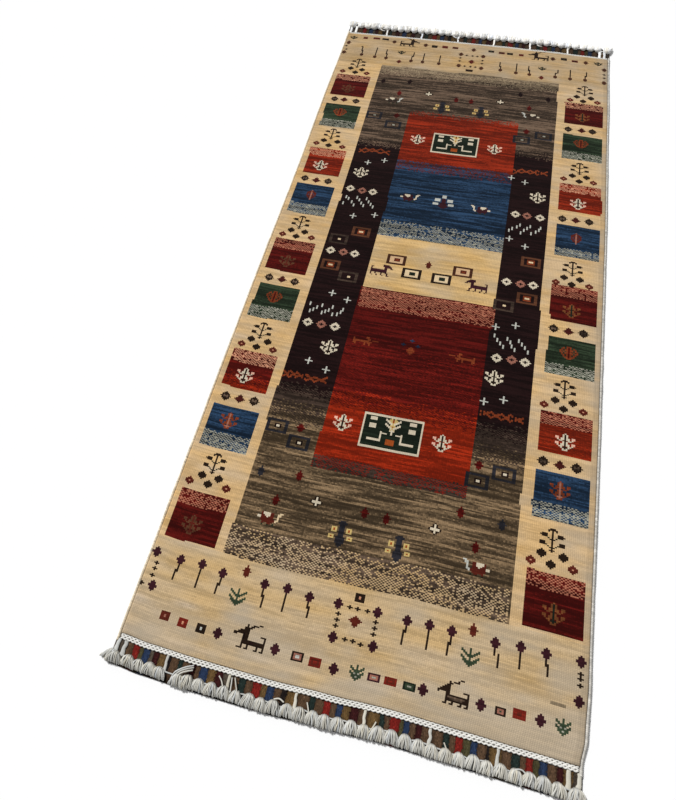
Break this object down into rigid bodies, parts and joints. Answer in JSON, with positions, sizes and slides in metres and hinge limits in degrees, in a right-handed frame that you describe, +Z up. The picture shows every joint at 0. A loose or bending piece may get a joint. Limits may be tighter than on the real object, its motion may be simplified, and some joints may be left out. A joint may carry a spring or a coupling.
{
  "type": "carpet",
  "caption": "Small hand-knotted wool rug with striped flat-woven ends, white twined chains and a knotted cotton fringe, to lie flat on a floor.",
  "frame": {"origin": "on the floor under the middle of the whole rug, fringe and all", "axes": "+Y along the length, towards the end seen farther away in the picture; +Z up, out of the pile; +X across the width, to the right seen from the near end"},
  "size_m": [0.8225, 1.9194, 0.0122],
  "materials": {
    "wool_pile": "short cut wool pile, hand-knotted in camel, reds, purple-brown, blue, green and cream",
    "wool_selvedge": "overcast cream wool edge cord",
    "cotton_chain": "white twined cotton chain",
    "wool_kilim": "flat-woven wool in narrow stripes of brown, red, blue, green and ochre",
    "cotton_fringe": "knotted natural cotton warp ends"
  },
  "bodies": {
    "root": {"carpet_pile": "wool_pile", "selvedge_left": "wool_selvedge", "selvedge_right": "wool_selvedge", "chain_near": "cotton_chain", "chain_far": "cotton_chain", "kilim_near": "wool_kilim", "kilim_far": "wool_kilim", "fringe_near": "cotton_fringe", "fringe_far": "cotton_fringe"}
  },
  "joints": []
}
